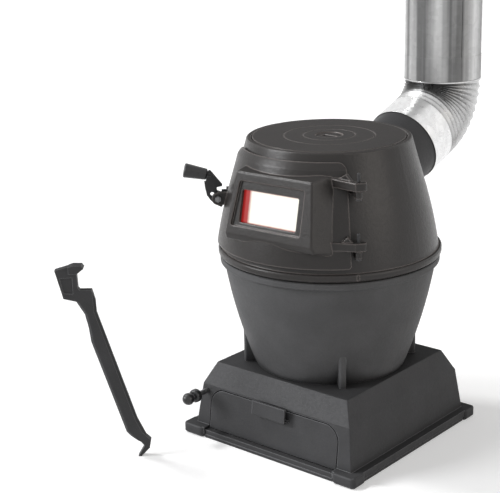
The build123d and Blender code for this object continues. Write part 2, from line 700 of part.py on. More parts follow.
def make_shaker_knob():
    centre = (SHAKER_X, skirt_y(SHAKER_Z, SHAKER_KNOB_REACH), SHAKER_Z)
    knob = Pos(*centre) * Sphere(SHAKER_KNOB_RADIUS)
    return knob - bar(SHAKER_ROD_RADIUS + SCREW_GAP, centre, (SHAKER_X, 0, SHAKER_Z))


def make_shaker_collar():
    middle = skirt_y(SHAKER_Z, SHAKER_COLLAR_REACH)
    ends = [(SHAKER_X, middle + side * SHAKER_COLLAR_LENGTH / 2, SHAKER_Z) for side in (-1, 1)]
    collar = bar(SHAKER_COLLAR_RADIUS, *ends)
    collar = fillet(collar.edges().filter_by(GeomType.CIRCLE), SHAKER_COLLAR_LENGTH / 3)
    return collar - bar(SHAKER_ROD_RADIUS + SCREW_GAP, *ends)


# Barrel

def bowl_curve(offset):
    """Outline from the plateau up to the seam flange, as radius and height."""
    low = (BOWL_FOOT_RADIUS + offset, PLATEAU_Z)
    high = (BOWL_TOP_RADIUS + offset, BOWL_FLANGE_Z)
    middle = ((low[0] + high[0]) / 2 + BOWL_BULGE, (low[1] + high[1]) / 2)
    return ThreePointArc(low, middle, high)


def make_bowl():
    outer, inner = bowl_curve(0), bowl_curve(-BARREL_WALL)
    seam = [(BOWL_FLANGE_RADIUS, BOWL_FLANGE_Z), (BOWL_FLANGE_RADIUS, BOWL_TOP_Z)]
    seam += [(BOWL_TOP_RADIUS - BARREL_WALL, BOWL_TOP_Z)]
    path = Polyline(outer @ 1, *seam, inner @ 1)
    face = make_face([outer, *path.edges(), inner, Line(inner @ 0, outer @ 0)])
    bowl = revolve(Plane.XZ * face, Axis.Z)
    bowl = fillet(circles_at(bowl, BOWL_FLANGE_RADIUS), SEAM_EDGE)
    middle = bowl_curve(-BARREL_WALL / 2)
    path = Polyline(middle @ 1, (0, BOWL_FLANGE_Z), (0, PLATEAU_Z), middle @ 0)
    core = revolve(Plane.XZ * make_face([middle, *path.edges()]), Axis.Z)
    for azimuth in FIN_AZIMUTHS:
        fin_x = (-FIN_THICKNESS / 2, FIN_THICKNESS / 2)
        fin_y = (-FIN_REACH, BARREL_WALL - BOWL_FOOT_RADIUS)
        fin = block(fin_x, fin_y, (PLATEAU_Z, PLATEAU_Z + FIN_HEIGHT))
        outer_face = fin.faces().sort_by(Axis.Y)[0]
        fin = fillet(outer_face.edges().filter_by(Axis.Z), FIN_THICKNESS / 3)
        bowl += at_azimuth(azimuth, fin) - core
        hole_ends = [polar(FIN_BOLT_REACH, azimuth, z) for z in (0, PLATEAU_Z + FIN_BOLT_GRIP + SEAT_GAP)]
        bowl -= bar(M5_RADIUS + SCREW_GAP, *hole_ends)
    return bowl


def make_bowl_bolts():
    bolts = []
    underside = PLATEAU_Z - BASE_WALL
    for azimuth in FIN_AZIMUTHS:
        seat = polar(FIN_BOLT_REACH, azimuth, underside)
        head = bar(M5_HEAD_RADIUS, polar(FIN_BOLT_REACH, azimuth, underside - M5_HEAD_HEIGHT), seat)
        bolts.append(head + bar(M5_RADIUS, seat, polar(FIN_BOLT_REACH, azimuth, PLATEAU_Z + FIN_BOLT_GRIP)))
    return together(bolts)


def make_seam_gasket():
    return hoop(SEAM_GASKET_RADIUS, SEAM_GASKET_RADIUS - GASKET_WIDTH, BOWL_TOP_Z, BELL_BOTTOM_Z)


def make_bell():
    outer, inner = bell_curve(0), bell_curve(-BARREL_WALL)
    bore = BELL_FOOT_RADIUS - BARREL_WALL - SEAM_EDGE
    ledge_z = HOB_SEAT_Z - HOB_LEDGE_THICKNESS
    seam = [(BELL_FLANGE_RADIUS, BELL_FOOT_Z), (BELL_FLANGE_RADIUS, BELL_BOTTOM_Z)]
    seam += [(bore, BELL_BOTTOM_Z), (bore, BELL_FOOT_Z)]
    path = Polyline(outer[1] @ 1, *seam, inner[1] @ 1)
    face = make_face([*outer, *path.edges(), *inner, Line(inner[0] @ 0, outer[0] @ 0)])
    bell = revolve(Plane.XZ * face, Axis.Z)
    bell = fillet(circles_at(bell, BELL_FLANGE_RADIUS), SEAM_EDGE)
    bell += hoop(BELL_RIM_RADIUS - SEAT_GAP, HOB_LEDGE_RADIUS, ledge_z, RIM_Z)
    bell -= bar(HOB_RECESS_RADIUS, (0, 0, HOB_SEAT_Z), (0, 0, RIM_Z + OVERRUN))
    bell = fillet(circles_at(bell, BELL_RIM_RADIUS), RIM_EDGE)
    bell = fillet(circles_at(bell, HOB_RECESS_RADIUS)[-1:], RIM_INNER_EDGE)
    opening_radii = (BELL_RIM_RADIUS - OVERRUN, BELL_FLANGE_RADIUS)
    bell -= sector(OPENING_AZIMUTHS, opening_radii, (OPENING_BOTTOM, OPENING_TOP))
    bell -= flue_tube(COLLAR_SPIGOT_RADIUS + SCREW_GAP, 0, -FLUE_REACH / 2, COLLAR_INSERT)
    for level in (HINGE_UPPER_Z, HINGE_LOWER_Z):
        bell += hinge_lug(level) - bell_core(-BARREL_WALL)
    bell -= bar(HINGE_PIN_RADIUS + SCREW_GAP, hinge_point(0), hinge_point(RIM_Z))
    return bell - keeper_screw(SCREW_GAP)


# Door

OPENING_AZIMUTHS = (DOOR_LEFT_ANGLE + OPENING_MARGIN_ANGLE, DOOR_RIGHT_ANGLE - OPENING_MARGIN_ANGLE)
OPENING_BOTTOM = DOOR_BOTTOM_Z + OPENING_MARGIN
OPENING_TOP = DOOR_TOP_Z - OPENING_MARGIN
DOOR_SKIN = DOOR_STANDOFF + DOOR_THICKNESS
FACE_REACH = bell_radius(FACE_Z) + DOOR_SKIN + FACE_PROUD
BROW_TOP = BOX_TOP + BROW_RISE
CHIN_BOTTOM = -BOX_BOTTOM - CHIN_DROP


def face_plane():
    """Plane of the window box's front: x to the right, y up the plane, z out of the door."""
    turn, lean = radians(FACE_AZIMUTH), radians(FACE_LEAN_ANGLE)
    normal = (sin(turn) * cos(lean), -cos(turn) * cos(lean), sin(lean))
    origin = polar(FACE_REACH, FACE_AZIMUTH, FACE_Z)
    return Plane(origin, x_dir=(cos(turn), sin(turn), 0), z_dir=normal)


def box_section(y, left, right, inset, side):
    """Level section through the window box, with its front and its sides drawn in."""
    far = right + BOX_BEVEL_WIDTH - side
    corners = [(side - left, inset), (right - side, inset), (far, BOX_BEVEL_DEPTH)]
    corners += [(far, BOX_DEPTH), (side - left, BOX_DEPTH)]
    return Plane(origin=(0, y, 0), x_dir=(1, 0, 0), z_dir=(0, 1, 0)) * outline(*corners)


def window_box():
    """Box that stands out of the door, with a sloping brow and a small chin."""
    low = box_section(CHIN_BOTTOM, BOX_LEFT_BOTTOM, BOX_RIGHT_BOTTOM, 0, 0)
    high = box_section(BROW_TOP, BOX_LEFT_TOP, BOX_RIGHT_TOP, 0, 0)
    profile = [(-BOX_BOTTOM, 0), (BOX_TOP, 0), (BROW_TOP, BROW_DEPTH), (BROW_TOP, BOX_DEPTH)]
    profile += [(CHIN_BOTTOM, BOX_DEPTH), (CHIN_BOTTOM, CHIN_DEPTH)]
    side_plane = Plane(origin=(0, 0, 0), x_dir=(0, 1, 0), z_dir=(-1, 0, 0))
    box = loft([low, high], ruled=True) & prism(outline(*profile), side_plane, 2 * FLANGE_HALF)
    near = box.edges().filter_by(lambda edge: edge.center().Z > SEAT_GAP - BOX_DEPTH)
    return face_plane() * fillet(near, BOX_EDGE)


def window_cavity():
    """Space inside the window box, open towards the fire."""
    low = box_section(CHIN_BOTTOM + BOX_WALL, BOX_LEFT_BOTTOM, BOX_RIGHT_BOTTOM, BOX_WALL, BOX_SIDE_WALL)
    high = box_section(BOX_TOP - BOX_SIDE_WALL, BOX_LEFT_TOP, BOX_RIGHT_TOP, BOX_WALL, BOX_SIDE_WALL)
    return face_plane() * loft([low, high], ruled=True)


def face_cut(corner_radius, depth, *corners):
    """Cutter with rounded corners that sinks into the window box's front."""
    face = outline(*corners)
    face = fillet(face.vertices(), corner_radius)
    return face_plane() * (Pos(0, 0, -depth) * extrude(face, depth + OVERRUN))


def on_face(x_range, y_range, depth_range):
    """Block laid out on the window box's plane, by depths behind its front."""
    near, far = depth_range
    return face_plane() * block(x_range, y_range, (-far, -near))


def clip_places():
    """Side of the glass and middle of each clip, on the window box's plane."""
    for x in (-CLIP_SPREAD / 2, CLIP_SPREAD / 2):
        yield x, -1, -WINDOW_BOTTOM - GLASS_LAP
        yield x, 1, WINDOW_TOP + GLASS_LAP


def clip_span(side, edge, start, end):
    """Range of heights from one distance beyond the glass's edge to another."""
    return sorted((edge + side * start, edge + side * end))


def hinge_point(z, across=0.0):
    return polar(HINGE_REACH, HINGE_AZIMUTH, z, across)


def hinge_lug(level):
    """Lug on the bell, under the door's arm, with a round end about the pin."""
    top = level - LID_GAP
    bottom = top - HINGE_LUG_THICKNESS
    half = HINGE_LUG_HALF
    root = bell_radius(bottom) - BARREL_WALL - SEAM_EDGE
    lug = at_azimuth(HINGE_AZIMUTH, block((-half, half), (-HINGE_REACH, -root), (bottom, top)))
    return lug + bar(half, hinge_point(bottom), hinge_point(top))


def hinge_arm(level):
    """Arm on the door that drops over the pin, with a round tail and a gusset on top."""
    top = level + HINGE_ARM_THICKNESS
    skin = bell_radius((level + top) / 2) + DOOR_SKIN - DOOR_STANDOFF / 2
    near, far = HINGE_REACH - HINGE_ARM_HALF, HINGE_REACH + HINGE_ARM_HALF
    tail = HINGE_ARM_TAIL - HINGE_ARM_HALF
    corners = [polar(skin, HINGE_ARM_ROOT_ANGLE, 0), polar(far, HINGE_AZIMUTH, 0, -HINGE_ARM_HALF)]
    corners += [polar(far, HINGE_AZIMUTH, 0, tail), polar(near, HINGE_AZIMUTH, 0, tail)]
    corners += [polar(near, HINGE_AZIMUTH, 0, -HINGE_ARM_HALF)]
    corners += [polar(skin, DOOR_RIGHT_ANGLE - SKIN_EDGE_ANGLE, 0)]
    flat = outline(*[corner[:2] for corner in corners])
    arm = Pos(0, 0, level) * extrude(flat, HINGE_ARM_THICKNESS)
    arm += bar(HINGE_ARM_HALF, hinge_point(level, tail), hinge_point(top, tail))
    root = Vector(*polar(skin, (HINGE_ARM_ROOT_ANGLE + DOOR_RIGHT_ANGLE) / 2, top))
    run = Vector(*hinge_point(top)) - root
    foot_share, peak_share, end_share = GUSSET_SHARES
    gusset = outline((run.length * foot_share, 0), (run.length * peak_share, GUSSET_HEIGHT),
                     (run.length * end_share, 0))
    gusset_plane = Plane(origin=root, x_dir=run, z_dir=run.cross(Vector(0, 0, 1)))
    return arm + prism(gusset, gusset_plane, GUSSET_THICKNESS)


def door_skin():
    """Curved plate of the door, with round corners and a bevel along its top."""
    skin = bell_layer(DOOR_STANDOFF, DOOR_SKIN, (DOOR_LEFT_ANGLE, DOOR_RIGHT_ANGLE))
    skin &= band(DOOR_BOTTOM_Z, DOOR_TOP_Z)
    corners = skin.edges().filter_by(lambda edge: abs(edge.length - DOOR_THICKNESS) < SCREW_GAP)
    skin = fillet(corners.sort_by(Axis.Z)[-2:], DOOR_TOP_CORNER)
    corners = skin.edges().filter_by(lambda edge: abs(edge.length - DOOR_THICKNESS) < SCREW_GAP)
    skin = fillet(corners.sort_by(Axis.Z)[:2], DOOR_BOTTOM_CORNER)
    bevel_z = DOOR_TOP_Z - DOOR_BEVEL_HEIGHT
    lip = (bell_radius(DOOR_TOP_Z) + DOOR_STANDOFF + DOOR_BEVEL_LIP, DOOR_TOP_Z)
    reach = bell_radius(bevel_z) + DOOR_SKIN
    return skin - turned(lip, (reach, bevel_z), (reach + OVERRUN, bevel_z), (reach + OVERRUN, DOOR_TOP_Z))


def make_door_leaf():
    leaf = door_skin()
    pad = on_face(PAD_X, PAD_Y, (0, BOX_WALL))
    core = bell_core(DOOR_STANDOFF)
    leaf += window_box() - (core - pad)
    for level in (HINGE_UPPER_Z, HINGE_LOWER_Z):
        leaf += hinge_arm(level) - core
    leaf += latch_ear()
    leaf -= window_cavity()
    recess = [(-RECESS_LEFT_BOTTOM, -RECESS_BOTTOM), (RECESS_RIGHT, -RECESS_BOTTOM)]
    recess += [(RECESS_RIGHT, RECESS_TOP), (-RECESS_LEFT_TOP, RECESS_TOP)]
    leaf -= face_cut(RECESS_CORNER, RECESS_DEPTH, *recess)
    half = WINDOW_HALF_WIDTH
    window = [(-half, -WINDOW_BOTTOM), (half, -WINDOW_BOTTOM), (half, WINDOW_TOP), (-half, WINDOW_TOP)]
    leaf -= face_cut(RECESS_CORNER, BOX_WALL, *window)
    for x, side, edge in clip_places():
        span = clip_span(side, edge, LID_GAP, CLIP_LENGTH - CLIP_LAP)
        leaf += on_face((x - CLIP_WIDTH / 2, x + CLIP_WIDTH / 2), span, (BOX_WALL - SEAT_GAP, GLASS_BACK))
        leaf -= clip_screw(x, side, edge, SCREW_GAP)
    leaf -= bar(HINGE_PIN_RADIUS + RUNNING_GAP, hinge_point(0), hinge_point(RIM_Z + OVERRUN))
    bolt_hole = bar(LATCH_BOLT_RADIUS + SCREW_GAP, (-OVERRUN, *LATCH_PIVOT), (OVERRUN, *LATCH_PIVOT))
    return leaf - at_azimuth(DOOR_LEFT_ANGLE, bolt_hole)


GASKET_FRONT = BOX_WALL
GLASS_FRONT = GASKET_FRONT + GLASS_GASKET_THICKNESS
GLASS_BACK = GLASS_FRONT + GLASS_THICKNESS
GLASS_X = (-WINDOW_HALF_WIDTH - GLASS_LAP, WINDOW_HALF_WIDTH + GLASS_LAP)
GLASS_Y = (-WINDOW_BOTTOM - GLASS_LAP, WINDOW_TOP + GLASS_LAP)
PAD_X = (GLASS_X[0] - CLIP_LAP, GLASS_X[1] + CLIP_LAP)
PAD_Y = (GLASS_Y[0] - CLIP_LENGTH, GLASS_Y[1] + CLIP_LENGTH)


def make_window_glass():
    return on_face(GLASS_X, GLASS_Y, (GLASS_FRONT, GLASS_BACK))


def make_glass_gasket():
    depths = (GASKET_FRONT, GLASS_FRONT)
    hole = (-WINDOW_HALF_WIDTH - SEAT_GAP, WINDOW_HALF_WIDTH + SEAT_GAP)
    opening = on_face(hole, (-WINDOW_BOTTOM - SEAT_GAP, WINDOW_TOP + SEAT_GAP), depths)
    return on_face(GLASS_X, GLASS_Y, depths) - opening


def clip_screw(x, side, edge, grow):
    """Screw that holds a clip to its boss, or the hole for it when grown."""
    y = edge + side * (CLIP_LENGTH - CLIP_LAP) / 2
    back = GLASS_BACK + CLIP_THICKNESS
    shank = bar(M5_RADIUS + grow, (x, y, grow - BOX_WALL), (x, y, -back - grow))
    head = bar(M5_HEAD_RADIUS, (x, y, -back), (x, y, -back - M5_HEAD_HEIGHT))
    return face_plane() * (shank if grow else shank + head)


def make_glass_clips():
    clips = []
    for x, side, edge in clip_places():
        span = clip_span(side, edge, -CLIP_LAP, CLIP_LENGTH - CLIP_LAP)
        depths = (GLASS_BACK, GLASS_BACK + CLIP_THICKNESS)
        clip = on_face((x - CLIP_WIDTH / 2, x + CLIP_WIDTH / 2), span, depths)
        clips.append(clip - clip_screw(x, side, edge, SCREW_GAP))
    return together(clips)


def make_clip_screws():
    return together([clip_screw(*place, 0) for place in clip_places()])


def make_door_gasket():
    """Flat rope seal on the inside of the door, round the opening."""
    layer = (DOOR_GASKET_GAP, DOOR_STANDOFF - SCREW_GAP)
    inner_angle, inner = DOOR_GASKET_MARGIN_ANGLE, DOOR_GASKET_MARGIN
    outer_angle, outer = inner_angle + DOOR_GASKET_WIDTH_ANGLE, inner + DOOR_GASKET_WIDTH
    left, right = OPENING_AZIMUTHS
    seal = bell_layer(*layer, (left - outer_angle, right + outer_angle))
    seal &= band(OPENING_BOTTOM - outer, OPENING_TOP + outer)
    hole = bell_layer(0, DOOR_SKIN, (left - inner_angle, right + inner_angle))
    return seal - (hole & band(OPENING_BOTTOM - inner, OPENING_TOP + inner))


def make_hinge_pin(level):
    bottom = level - LID_GAP - HINGE_LUG_THICKNESS
    top = level + HINGE_ARM_THICKNESS + HINGE_PIN_RISE
    pin = bar(HINGE_PIN_RADIUS, hinge_point(bottom), hinge_point(top))
    pin = fillet(pin.edges().group_by(Axis.Z)[-1], HINGE_PIN_RADIUS / 3)
    head = bar(HINGE_PIN_HEAD_RADIUS, hinge_point(bottom - HINGE_PIN_HEAD_HEIGHT), hinge_point(bottom))
    return pin + head


# Latch, built at the front with x across and then turned to the door's left edge

LATCH_SKIN_REACH = bell_radius(LATCH_PIVOT_Z)
LATCH_PIVOT_REACH = LATCH_SKIN_REACH + LATCH_PIVOT_PROUD
KEEPER_REACH = LATCH_SKIN_REACH + KEEPER_PROUD
LATCH_PIVOT = (-LATCH_PIVOT_REACH, LATCH_PIVOT_Z)
LEVER_X = (-SEAT_GAP - LEVER_THICKNESS, -SEAT_GAP)
LEVER_MIDDLE = (LEVER_X[0] + LEVER_X[1]) / 2
KEEPER_RIGHT = LEVER_X[0] - KEEPER_GAP
KEEPER_LEFT = KEEPER_RIGHT - KEEPER_THICKNESS
KEEPER_SCREW_X = KEEPER_LEFT - KEEPER_FOOT_WIDTH / 2


def latch_ear():
    """Ear on the door's left edge that carries the lever's bolt."""
    heights = (LATCH_PIVOT_Z - LATCH_EAR_HALF, LATCH_PIVOT_Z + LATCH_EAR_RISE)
    ear = block((0, LATCH_EAR_THICKNESS), (-LATCH_PIVOT_REACH, -LATCH_SKIN_REACH), heights)
    ear += bar(LATCH_EAR_HALF, (0, *LATCH_PIVOT), (LATCH_EAR_THICKNESS, *LATCH_PIVOT))
    return at_azimuth(DOOR_LEFT_ANGLE, ear) - bell_core(DOOR_STANDOFF)


def lever_point(across, up):
    """Corner of the lever, from shares of its size, as place and height."""
    return (LATCH_PIVOT[0] - across * LEVER_SIZE, LATCH_PIVOT[1] + up * LEVER_SIZE)


def grip_plane():
    """Plane across the grip's axis, where the grip starts."""
    tilt = radians(GRIP_TILT_ANGLE)
    origin = (LEVER_MIDDLE, *lever_point(*GRIP_ROOT_SHARE))
    return Plane(origin=origin, x_dir=(1, 0, 0), z_dir=(0, -cos(tilt), sin(tilt)))


def make_latch_lever():
    face = outline(*[lever_point(*share) for share in LEVER_OUTLINE_SHARES])
    lever = Pos(LEVER_MIDDLE, 0, 0) * prism(face, Plane.YZ, LEVER_THICKNESS)
    lever = fillet(lever.edges().filter_by(Axis.X), LEVER_CORNER)
    holes = [(LATCH_PIVOT, LATCH_BOLT_RADIUS + RUNNING_GAP)]
    holes += [(lever_point(*LEVER_HOLE_SHARE), LEVER_HOLE_RADIUS)]
    for place, radius in holes:
        lever -= bar(radius, (-OVERRUN, *place), (OVERRUN, *place))
    lever -= grip_plane() * Cylinder(GRIP_RADIUS, GRIP_LENGTH, align=STANDING)
    stud = bar(GRIP_STUD_RADIUS, (0, 0, -GRIP_STUD_ROOT), (0, 0, GRIP_STUD_LENGTH))
    return at_azimuth(DOOR_LEFT_ANGLE, lever + grip_plane() * stud)


def make_latch_grip():
    body = Cone(GRIP_NECK_RADIUS, GRIP_RADIUS, GRIP_LENGTH, align=STANDING)
    body = fillet(body.edges().filter_by(GeomType.CIRCLE), GRIP_EDGE)
    body -= Cylinder(GRIP_STUD_RADIUS + SCREW_GAP, GRIP_STUD_LENGTH + SEAT_GAP, align=STANDING)
    return at_azimuth(DOOR_LEFT_ANGLE, grip_plane() * (Pos(0, 0, SEAT_GAP) * body))


def make_latch_bolt():
    head_end = LEVER_X[0] - LATCH_BOLT_HEAD_HEIGHT
    hexagon = extrude(RegularPolygon(LATCH_BOLT_HEAD_RADIUS, HEX_SIDES), LATCH_BOLT_HEAD_HEIGHT)
    across_x = Plane(origin=(head_end, *LATCH_PIVOT), z_dir=(1, 0, 0))
    nut_end = LATCH_EAR_THICKNESS + LATCH_BOLT_HEAD_HEIGHT + SEAT_GAP
    bolt = across_x * hexagon + bar(LATCH_BOLT_RADIUS, (head_end, *LATCH_PIVOT), (nut_end, *LATCH_PIVOT))
    return at_azimuth(DOOR_LEFT_ANGLE, bolt)


def make_latch_nut():
    nut = extrude(RegularPolygon(LATCH_BOLT_HEAD_RADIUS, HEX_SIDES), LATCH_BOLT_HEAD_HEIGHT)
    nut = Plane(origin=(LATCH_EAR_THICKNESS, *LATCH_PIVOT), z_dir=(1, 0, 0)) * nut
    nut -= bar(LATCH_BOLT_RADIUS + SCREW_GAP, (0, *LATCH_PIVOT), (OVERRUN, *LATCH_PIVOT))
    return at_azimuth(DOOR_LEFT_ANGLE, nut)


def keeper_screw(grow):
    """Screw that holds the keeper to the bell, or the hole for it when grown."""
    seat_y = -LATCH_SKIN_REACH - KEEPER_FOOT
    seat = (KEEPER_SCREW_X, seat_y, LATCH_PIVOT_Z)
    tip = (KEEPER_SCREW_X, BARREL_WALL - LATCH_SKIN_REACH, LATCH_PIVOT_Z)
    head = bar(M5_HEAD_RADIUS, seat, (KEEPER_SCREW_X, seat_y - M5_HEAD_HEIGHT, LATCH_PIVOT_Z))
    shank = bar(M5_RADIUS + grow, seat, tip)
    return at_azimuth(DOOR_LEFT_ANGLE, shank if grow else shank + head)


def make_latch_keeper():
    """Cheek beside the lever's nose, on a foot that is screwed to the bell."""
    heights = (LATCH_PIVOT_Z - KEEPER_HALF, LATCH_PIVOT_Z + KEEPER_HALF)
    back = OVERRUN - LATCH_SKIN_REACH
    cheek = block((KEEPER_LEFT, KEEPER_RIGHT), (-KEEPER_REACH, back), heights)
    foot_x = (KEEPER_LEFT - KEEPER_FOOT_WIDTH, KEEPER_RIGHT)
    foot_block = block(foot_x, (-LATCH_SKIN_REACH - KEEPER_FOOT, back), heights)
    keeper = at_azimuth(DOOR_LEFT_ANGLE, cheek + foot_block) - bell_core(SCREW_GAP)
    return keeper - keeper_screw(SCREW_GAP)


# Hob lids

LID_TOP_Z = LID_BOTTOM_Z + LID_THICKNESS
LAP_Z = LID_BOTTOM_Z + LID_THICKNESS / 2


def lid_section(edge, bore):
    """Corners of a lid: a lip on its rim unless it seats in the bell, a ledge in its bore if it has one."""
    stepped = edge < HOB_LEDGE_RADIUS
    lower = edge - LID_LAP if stepped else edge
    corners = [(lower, LID_BOTTOM_Z)]
    if stepped:
        corners += [(lower, LAP_Z + SEAT_GAP), (edge, LAP_Z + SEAT_GAP)]
    corners += [(edge, LID_TOP_Z)]
    if bore:
        corners += [(bore, LID_TOP_Z), (bore, LAP_Z)]
        corners += [(bore - LID_LAP, LAP_Z), (bore - LID_LAP, LID_BOTTOM_Z)]
    else:
        corners += [(0, LID_TOP_Z), (0, LID_BOTTOM_Z)]
    return corners


def make_lid(edge, bore):
    lid = turned(*lid_section(edge, bore))
    rim = lid.edges().group_by(Axis.Z)[-1].filter_by(GeomType.CIRCLE)
    return fillet(rim, LID_EDGE)


def make_centre_lid():
    lid = make_lid(INNER_RING_BORE - LID_GAP, 0)
    lid -= bar(LID_DISH_RADIUS, (0, 0, LID_TOP_Z - LID_DISH_DEPTH), (0, 0, LID_TOP_Z))
    slot = SlotOverall(LID_SLOT_LENGTH, LID_SLOT_WIDTH)
    return lid - Pos(0, 0, LID_BOTTOM_Z) * extrude(slot, LID_THICKNESS)


# Flue

def flue_station(length):
    """Plane across the flue at a length along its centre line, from the elbow's lower edge."""
    tilt = radians(FLUE_TILT_ANGLE)
    ahead, up = Vector(0, cos(tilt), sin(tilt)), Vector(0, -sin(tilt), cos(tilt))
    start = Vector(0, FLUE_REACH, FLUE_Z) + ahead * min(length, BEND_START)
    bend = min(max(length - BEND_START, 0) / ELBOW_BEND_RADIUS, BEND_ANGLE)
    middle = start + (ahead * sin(bend) + up * (1 - cos(bend))) * ELBOW_BEND_RADIUS
    heading = ahead * cos(bend) + up * sin(bend)
    rest = max(length - BEND_START - BEND_ANGLE * ELBOW_BEND_RADIUS, 0)
    return Plane(origin=middle + heading * rest, x_dir=(1, 0, 0), z_dir=heading)


BEND_ANGLE = radians(X_AZIMUTH - FLUE_TILT_ANGLE)
BEND_START = PIPE_SETBACK / cos(radians(FLUE_TILT_ANGLE)) - ELBOW_BEND_RADIUS * tan(BEND_ANGLE / 2)
BEND_END = BEND_START + BEND_ANGLE * ELBOW_BEND_RADIUS
FLUE_BORE = FLUE_RADIUS - FLUE_SHEET
SOCKET_LENGTH = SPIGOT_LENGTH + SOCKET_END_GAP
SPIGOT_RADIUS = FLUE_BORE + SOCKET_PROUD - PIPE_GAP
LAP_RADIUS = FLUE_BORE - PIPE_GAP
BEAD_RADIUS = FLUE_RADIUS + BEAD_PROUD
BEAD_END = BEND_END + BEAD_WIDTH
PIPE_BOTTOM_Z = flue_station(BEAD_END).origin.Z + SEAT_GAP
MOUTH_BORE = FLUE_RADIUS + SEAM_PROUD + PIPE_GAP


def flue_tube(outer, inner, start, end):
    """Straight tube on the flue's lower axis."""
    tube = Cylinder(outer, end - start, align=STANDING)
    if inner:
        tube -= Cylinder(inner, end - start, align=STANDING)
    return flue_station(0) * (Pos(0, 0, start) * tube)


def make_flue_collar():
    reach = FLUE_REACH / 2
    collar = flue_tube(COLLAR_RADIUS, COLLAR_BORE_RADIUS, -reach, COLLAR_INSERT) - bell_core(SCREW_GAP)
    spigot = flue_tube(COLLAR_SPIGOT_RADIUS, COLLAR_BORE_RADIUS, -reach, 0) & bell_core(SEAM_EDGE)
    return collar + (spigot - bell_core(-COLLAR_SPIGOT_DEPTH))


def make_flue_sleeve():
    return flue_tube(FLUE_RADIUS, FLUE_BORE, 0, SLEEVE_LENGTH)


def elbow_rings():
    """Length along the flue and radius of each ring that shapes the elbow above its sleeve."""
    rings = [(SLEEVE_LENGTH, FLUE_RADIUS)]
    pitch = (BEND_END - SLEEVE_LENGTH) / PLEATS
    for index in range(PLEATS):
        start = SLEEVE_LENGTH + index * pitch
        rings += [(start + pitch / 2, FLUE_RADIUS - PLEAT_DEPTH), (start + pitch, FLUE_RADIUS)]
    rings += [(BEND_END + SEAT_GAP, BEAD_RADIUS), (BEAD_END, BEAD_RADIUS)]
    rings += [(BEAD_END + SEAT_GAP, SPIGOT_RADIUS), (BEAD_END + SPIGOT_LENGTH, SPIGOT_RADIUS)]
    return rings


def make_flue_elbow():
    walls = []
    for inset in (0, FLUE_SHEET):
        rings = [flue_station(length) * Circle(radius - inset) for length, radius in elbow_rings()]
        walls.append(loft(rings, ruled=True))
    elbow = walls[0] - walls[1]
    lap_end = SLEEVE_LENGTH + FLUE_SHEET
    elbow += flue_tube(FLUE_RADIUS, LAP_RADIUS - FLUE_SHEET, SLEEVE_LENGTH, lap_end)
    return elbow + flue_tube(LAP_RADIUS, LAP_RADIUS - FLUE_SHEET, SLEEVE_LENGTH - SLEEVE_LAP, lap_end)


def lock_seam(radius, bottom, top):
    half = SEAM_WIDTH / 2
    seam = block((-half, half), (-radius - SEAM_PROUD, SCREW_GAP - radius), (bottom, top))
    seam = fillet(seam.faces().sort_by(Axis.Y)[0].edges().filter_by(Axis.Z), SEAM_PROUD / 2)
    return at_azimuth(PIPE_SEAM_AZIMUTH, seam)


def make_flue_pipe():
    mouth_z = PIPE_LENGTH - MOUTH_LENGTH
    neck_z = mouth_z - MOUTH_TAPER
    mouth_radius = MOUTH_BORE + FLUE_SHEET
    pipe = hoop(FLUE_RADIUS, FLUE_BORE, SOCKET_LENGTH, neck_z)
    pipe += hoop(FLUE_RADIUS + SOCKET_PROUD, FLUE_BORE + SOCKET_PROUD, 0, SOCKET_LENGTH + FLUE_SHEET)
    outside = [(FLUE_RADIUS, neck_z), (mouth_radius, mouth_z), (mouth_radius, PIPE_LENGTH)]
    pipe += turned((FLUE_BORE, neck_z), *outside, (MOUTH_BORE, PIPE_LENGTH), (MOUTH_BORE, mouth_z))
    pipe += lock_seam(FLUE_RADIUS, 0, neck_z)
    pipe += lock_seam(mouth_radius, mouth_z, PIPE_LENGTH)
    return Pos(0, PIPE_AXIS_Y, PIPE_BOTTOM_Z) * pipe


# Lid lifter

def lifter_face(shares):
    return outline(*[(across * LIFTER_HEIGHT, up * LIFTER_HEIGHT) for across, up in shares])


def make_lid_lifter():
    lifter = prism(lifter_face(LIFTER_OUTLINE_SHARES), Plane.XZ, LIFTER_THICKNESS)
    low, high = [share * LIFTER_HEIGHT for share in LIFTER_SHAFT_SHARES]
    outer = lifter.faces().filter_by(Axis.Y).edges()
    lifter = chamfer(outer.filter_by(lambda edge: low < edge.center().Z < high), LIFTER_BEVEL)
    pocket = prism(lifter_face(LIFTER_POCKET_SHARES), Plane.XZ, LIFTER_POCKET_DEPTH)
    for side in (-1, 1):
        lifter -= Pos(0, side * LIFTER_THICKNESS / 2, 0) * pocket
    lifter += prism(lifter_face(LIFTER_NUB_SHARES), Plane.XZ, LIFTER_NUB_THICKNESS)
    return Pos(LIFTER_X, LIFTER_Y, 0) * at_azimuth(LIFTER_FACING_ANGLE, lifter)


# Nodes, one file each

